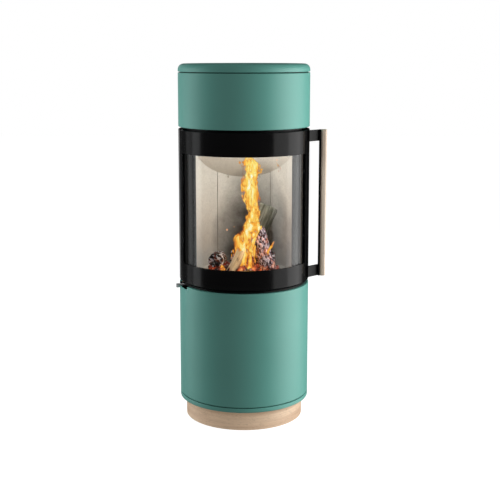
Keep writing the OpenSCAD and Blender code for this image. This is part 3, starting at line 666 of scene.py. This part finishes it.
def ash_bed():
    """Ash in a low closed mound under the coals."""
    verts = []
    for i in range(ASH_RINGS + 1):
        r = ASH_R * i / ASH_RINGS
        for k in range(ASH_SPOKES):
            a = 2 * math.pi * k / ASH_SPOKES
            x, y = ASH_AT[0] + r * math.cos(a), ASH_AT[1] + r * math.sin(a) * 0.93
            heap = ASH_HEAP * max(0.0, 1 - (r / ASH_R) ** 2)
            lump = 0.0035 * (1 + noise.noise(Vector((x * 45, y * 45, 2))))
            edge = 1 - (i / ASH_RINGS) ** 8
            verts.append((x, y, HEARTH_Z + 0.0004 + (heap + lump) * edge))
    faces = [(a, d, c, b) for a, b, c, d in tube_faces(ASH_RINGS + 1, ASH_SPOKES)]
    rim = ASH_RINGS * ASH_SPOKES
    under = len(verts)
    verts += [(x, y, HEARTH_Z + 0.0002) for x, y, _ in verts[rim:under]]
    for k in range(ASH_SPOKES):
        n = (k + 1) % ASH_SPOKES
        faces.append((rim + k, under + k, under + n, rim + n))
    faces.append([under + k for k in range(ASH_SPOKES)][::-1])
    finished(new_object("ash_bed", verts, faces, [ash_dust()]), "stove")


def flame_shape(rise):
    """The flame's middle, sideways, and half its width at a share of its height."""
    for (low, *at_low), (high, *at_high) in zip(FLAME_SHAPE, FLAME_SHAPE[1:]):
        if rise <= high:
            t = (rise - low) / (high - low)
            t *= t * (3 - 2 * t)
            return [a + (b - a) * t for a, b in zip(at_low, at_high)]
    return FLAME_SHAPE[-1][1:]


def lick(x, half, lean=0.0):
    """The shape of a small flame that stands by itself and ends in a point."""
    return lambda rise: (x + lean * rise * rise, half * (1 - rise) ** 0.7)


def flame_sheet(name, angle, shift, wide, tall, seed, material, ragged=1.0, foot=0.0,
                shape=flame_shape):
    """One sheet of fire, cut out where a rising turbulence is strong enough.

    It is turned by the angle about the flame's middle and shifted back; wide and tall are shares
    of the whole flame, and foot is how far up the sheet begins.
    """
    height = FLAME_TALL * tall
    half_columns, rows = FLAME_COLUMNS // 2, int(height / FLAME_STEP)
    turn = math.radians(angle)
    field, spots = {}, {}
    for j in range(rows + 1):
        up = j * FLAME_STEP
        rise = up / height
        middle, half = shape(rise * tall if shape is flame_shape else rise)
        tip = 1 - max(0.0, rise - 0.93) / 0.07
        for i in range(-half_columns, half_columns + 1):
            side = i * FLAME_STEP
            warp = 0.012 * noise.noise(Vector((side * 30, up * 18, seed)))
            at = Vector(((side + warp) * 36, up * 17 - seed, seed * 2.7))
            curl = noise.fractal(at, 0.8, 2.1, 4)
            tongue = noise.noise(Vector((side * 70 + warp * 120, up * 26, seed * 5.1)))
            fine = noise.noise(Vector((side * 150 + warp * 240, up * 60, seed * 1.9)))
            value = half * wide * (1 + 0.12 * curl) * tip - abs(side)
            value += ragged * (0.009 * curl + 0.007 * tongue + 0.004 * fine)
            hole = noise.noise(Vector((side * 75 + warp * 60, up * 30, seed * 3.3 + 9)))
            value -= 0.07 * max(0.0, hole - 0.36) * ragged
            field[i, j] = value
            depth = 0.010 * noise.noise(Vector((side * 13, up * 10, seed + 40)))
            depth += 0.5 * side * side / 0.08
            x = middle + side * math.cos(turn) - depth * math.sin(turn)
            y = FIRE_Y + shift - 0.030 * rise + side * math.sin(turn) + depth * math.cos(turn)
            spots[i, j] = Vector((x, y, FLAME_FOOT + foot + up))
    verts, faces, keys, heats = [], [], {}, []

    def corner(key):
        """The index of a grid point inside the flame."""
        if key not in keys:
            keys[key] = len(verts)
            verts.append(spots[key])
            heats.append((min(1.0, field[key] / FLAME_DEEP), key[1] / rows))
        return keys[key]

    def crossing(a, b):
        """The index of the point on the flame's edge between two grid points."""
        key = (min(a, b), max(a, b))
        if key not in keys:
            t = field[key[0]] / (field[key[0]] - field[key[1]])
            keys[key] = len(verts)
            verts.append(spots[key[0]].lerp(spots[key[1]], t))
            heats.append((0.0, (key[0][1] + (key[1][1] - key[0][1]) * t) / rows))
        return keys[key]

    for i in range(-half_columns, half_columns):
        for j in range(rows):
            loop = [(i, j), (i + 1, j), (i + 1, j + 1), (i, j + 1)]
            face = []
            for a, b in zip(loop, loop[1:] + loop[:1]):
                if field[a] > 0:
                    face.append(corner(a))
                if (field[a] > 0) != (field[b] > 0):
                    face.append(crossing(a, b))
            if len(face) >= 3:
                faces.append(face)
    piece = new_object(name, verts, faces, [material])
    layer = piece.data.uv_layers.new(name="heat")
    for face in piece.data.polygons:
        for corner_index in face.loop_indices:
            layer.data[corner_index].uv = heats[piece.data.loops[corner_index].vertex_index]
    piece.visible_shadow = False
    return finished(piece, "stove")


def sparks(rng, material):
    """A few glowing flecks that rise beside the flame."""
    bm = bmesh.new()
    for x, y, z, size in SPARKS:
        lump = bmesh.ops.create_icosphere(bm, subdivisions=1, radius=size)["verts"]
        for v in lump:
            v.co *= rng.uniform(0.6, 1.3)
            v.co.z *= 1.6
        bmesh.ops.translate(bm, verts=lump, vec=(x, y, z))
    piece = object_from(bm, "sparks", material)
    piece.visible_shadow = False
    finished(piece, "stove")


def spark_light():
    """The light of a flying spark."""
    s = Shader("spark_light")
    tone = s.ramp(s.noise(400, 2), [(0.3, (1.0, 0.25, 0.06)), (0.7, (1.0, 0.62, 0.30))])
    return s.finish(s.add("Emission", {"Color": tone, "Strength": 1.4}).outputs[0])


# ---------------------------------------------------------------- build

SEA_GREEN = srgb(100, 169, 157)
BLACK = (0.0045, 0.0045, 0.0048)
PLINTH_R = 0.204
OUTER_DOOR = ("door_upper_rail", "door_lower_rail", "door_stiles", "middle_casing")


def dress_frame():
    """Gives every CAD node the material of its slot in the record."""
    plinth = beech("beech_plinth", srgb(236, 208, 178), srgb(204, 170, 140),
                   lambda s: s.around(PLINTH_R), 0)
    looks = {
        "painted_casing": powder_coat("sea_green_coat", SEA_GREEN, 0.40),
        "black_steel": stove_paint("black_stove_paint", BLACK, 0.42, 0.12),
        "plinth_wood": plinth,
        "grip_wood": beech("beech_grip", srgb(250, 238, 222), srgb(224, 200, 174)),
        "galvanised": galvanised(),
        "bright_steel": brushed("brushed_steel", srgb(196, 198, 202), 0.2),
        "cast_iron": cast_iron(),
        "lining": vermiculite("vermiculite", srgb(222, 217, 209), 0.92),
        "bearing_brass": brushed("bearing_brass", srgb(206, 168, 92), 0.25),
        "door_glass": ceramic_glass(),
        "rope_seal": glass_rope(),
    }
    own = dict.fromkeys(OUTER_DOOR, stove_paint("black_enamel", BLACK, 0.17, 0.02))
    own |= dict.fromkeys(("air_lever", "lever_knob"), satin_silver())
    own["baffle_pins"] = looks["lining"]
    slots = {row["node"]: row["material_slot"] for row in frame["record"]["subparts"]}
    for name, node in frame["nodes"].items():
        node.data.materials.clear()
        node.data.materials.append(own.get(name, looks[slots[name]]))


def lay_fire():
    """The logs, coals, ash, flames and sparks, which are what the stove holds."""
    rng = random.Random(7)
    bark = bark_on_fire("scorched_bark", srgb(226, 206, 214), srgb(96, 72, 82), 0.6)
    # The split beech is made paler than the wood itself: its colour also paints the firelight
    # falling on it.
    pale_and_firelit_beech = burning_wood("split_beech_with_painted_firelight", srgb(250, 234, 204), srgb(196, 164, 120), 0.16, 0.04, 0.6)
    grey = burning_wood("weathered_wood", srgb(178, 176, 160), srgb(60, 62, 52), 0.24, 0.16, 0.3)
    black = burning_wood("charred_wood", srgb(120, 112, 108), srgb(30, 28, 28), 0.12, 1.9, 0.2, 1.0)
    end_fresh = end_grain("end_grain_fresh", srgb(206, 176, 134), srgb(140, 100, 66), 0.8)
    end_black = end_grain("end_grain_charred", srgb(150, 132, 138), srgb(40, 28, 34), 0.5)
    logs = (     # name, foot, top, radius, arc, spin, seed, then bark, split face and end looks
        ("log_charred_left", (-0.096, -0.106, 0.565), (-0.086, 0.030, 0.553),
         0.0265, 360, 20, 1, (black, black, black)),
        ("log_split_front", (-0.052, -0.118, 0.528), (0.030, -0.050, 0.664),
         0.020, 100, 205, 2, (pale_and_firelit_beech, pale_and_firelit_beech, end_fresh)),
        ("log_bark_right", (0.086, -0.098, 0.532), (0.047, -0.034, 0.662),
         0.026, 360, 250, 3, (bark, bark, end_black)),
        ("log_grey_back", (-0.002, 0.032, 0.532), (0.081, 0.058, 0.733),
         0.031, 110, 262, 4, (grey, grey, grey)),
        ("log_centre", (0.021, -0.078, 0.560), (0.012, 0.030, 0.552),
         0.018, 360, 0, 5, (bark, bark, end_black)),
        ("log_cross", (-0.046, 0.026, 0.538), (0.108, 0.014, 0.539),
         0.026, 120, 80, 6, (bark, black, end_black)),
    )
    for name, foot, top, radius, arc, spin, seed, materials in logs:
        piece = log(name, foot, top, radius, arc, spin, seed, materials)
        finished(piece, "stove")
    ember_bed(rng)
    ash_bed()
    red = flame_light("flame_outer", [(0.0, (0.42, 0.07, 0.015)), (0.20, (0.66, 0.18, 0.03)),
                                      (0.42, (0.92, 0.38, 0.04)), (0.70, (1.0, 0.67, 0.14)),
                                      (1.0, (1.0, 0.92, 0.52))], 0.08)
    yellow = flame_light("flame_inner", [(0.0, (0.72, 0.21, 0.03)), (0.25, (0.94, 0.43, 0.06)),
                                         (0.55, (1.0, 0.72, 0.15)), (0.85, (1.0, 0.88, 0.38)),
                                         (1.0, (1.0, 0.97, 0.76))], 0.06)
    flame_sheet("flame_back", 8, 0.020, 1.0, 1.0, 1.3, red)
    flame_sheet("flame_left", -38, 0.006, 0.95, 0.97, 2.9, red)
    flame_sheet("flame_right", 42, 0.004, 0.92, 0.95, 4.4, red)
    flame_sheet("flame_across", 88, 0.0, 0.85, 0.95, 6.1, red)
    flame_sheet("flame_middle", -12, -0.004, 0.86, 0.99, 7.7, yellow)
    flame_sheet("flame_core", 16, -0.014, 0.72, 0.96, 9.2, yellow)
    flame_sheet("flame_front", -4, -0.046, 0.82, 0.46, 11.5, red, 1.5)
    flame_sheet("flame_lick_right", 5, -0.044, 1.0, 0.26, 13.2, red, 0.6, 0.01,
                lick(0.076, 0.013, 0.026))
    flame_sheet("flame_lick_left", -8, -0.060, 1.0, 0.10, 15.8, red, 0.7, 0.0,
                lick(-0.072, 0.016, -0.006))
    flame_sheet("flame_curl", 4, -0.050, 1.0, 0.085, 17.1, yellow, 0.5, 0.340,
                lick(0.050, 0.014, 0.028))
    flame_sheet("flame_wisp", 6, -0.030, 1.0, 0.10, 19.6, red, 0.5, 0.345,
                lick(0.118, 0.005, -0.014))
    sparks(rng, spark_light())


def light_world():
    """A white background whose strength depends on the kind of ray that meets it."""
    world = bpy.data.worlds.new("studio")
    bpy.context.scene.world = world
    world.use_nodes = True
    tree = world.node_tree
    tree.nodes.clear()
    path = tree.nodes.new("ShaderNodeLightPath")
    total = None
    for output, strength in (("Is Camera Ray", BACKDROP), ("Is Diffuse Ray", AMBIENT),
                             ("Is Glossy Ray", MIRRORED), ("Is Transmission Ray", BACKDROP)):
        term = tree.nodes.new("ShaderNodeMath")
        term.operation = "MULTIPLY_ADD"
        tree.links.new(path.outputs[output], term.inputs[0])
        term.inputs[1].default_value = strength
        term.inputs[2].default_value = 0.0
        if total is not None:
            tree.links.new(total, term.inputs[2])
        total = term.outputs[0]
    sky = tree.nodes.new("ShaderNodeBackground")
    sky.inputs["Color"].default_value = rgba(1.0)
    tree.links.new(total, sky.inputs["Strength"])
    out = tree.nodes.new("ShaderNodeOutputWorld")
    tree.links.new(sky.outputs[0], out.inputs["Surface"])


def area_lamp(name, at, aim, width, tall, watts, colour):
    """A rectangular lamp that the camera doesn't see."""
    data = bpy.data.lights.new(name, "AREA")
    data.shape, data.size, data.size_y = "RECTANGLE", width, tall
    data.energy, data.color = watts, colour
    lamp = linked(name, data)
    lamp.location = at
    lamp.rotation_euler = (Vector(aim) - Vector(at)).to_track_quat("-Z", "Y").to_euler()
    lamp.visible_camera = False
    return lamp


def light_lamps():
    """Soft lamps round the stove, one for the plinth alone, and two in the firebox."""
    for name, phi, distance, height, width, tall, watts, colour, mirrored in LAMPS:
        a = math.radians(phi)
        at = (distance * math.sin(a), -distance * math.cos(a), height)
        lamp = area_lamp(name, at, LAMPS_AIM, width, tall, watts, colour)
        lamp.visible_glossy = mirrored
    low_front = area_lamp("low_front", **PLINTH_LAMP)
    low_front.visible_glossy = False
    plinth_only = bpy.data.collections.new("plinth_only")
    plinth_only.objects.link(frame["nodes"]["plinth_ring"])
    low_front.light_linking.receiver_collection = plinth_only
    inside = area_lamp("firebox_lamp", **FIREBOX_LAMP)
    glow = bpy.data.lights.new("fire_glow", "POINT")
    for setting, value in FIRE_GLOW.items():
        setattr(glow, setting, value)
    fire_glow = linked("fire_glow", glow)
    fire_glow.location = FIRE_GLOW_AT
    for lamp in (inside, fire_glow):
        lamp.visible_camera = lamp.visible_glossy = lamp.visible_transmission = False


def lay_floor():
    """A plain pale floor, which shades only what touches it."""
    s = Shader("pale_floor")
    dark, light = FLOOR_GREYS
    tone = s.ramp(s.noise(1.5, 3), [(0.4, dark), (0.6, light)])
    material = s.surface(tone, 0.8, Emission_Color=rgba(1.0), Emission_Strength=FLOOR_GLOW)
    half = FLOOR_SIZE / 2
    corners = [(-half, -half, 0), (half, -half, 0), (half, half, 0), (-half, half, 0)]
    floor = new_object("floor", corners, [(0, 1, 2, 3)], [material])
    floor.visible_glossy = floor.visible_diffuse = False


def place_camera():
    """The camera: in front of the stove, a little above it, looking slightly down."""
    data = bpy.data.cameras.new("camera")
    data.lens, data.shift_x, data.shift_y = CAMERA_LENS, *CAMERA_SHIFT
    camera = linked("camera", data)
    camera.location = CAMERA_AT
    camera.rotation_euler = (math.radians(90 - CAMERA_PITCH), 0, 0)
    bpy.context.scene.camera = camera


bpy.context.scene.view_settings.view_transform = "Standard"
place_camera()
light_world()
light_lamps()
lay_floor()
dress_frame()
rope_seal()
lay_fire()
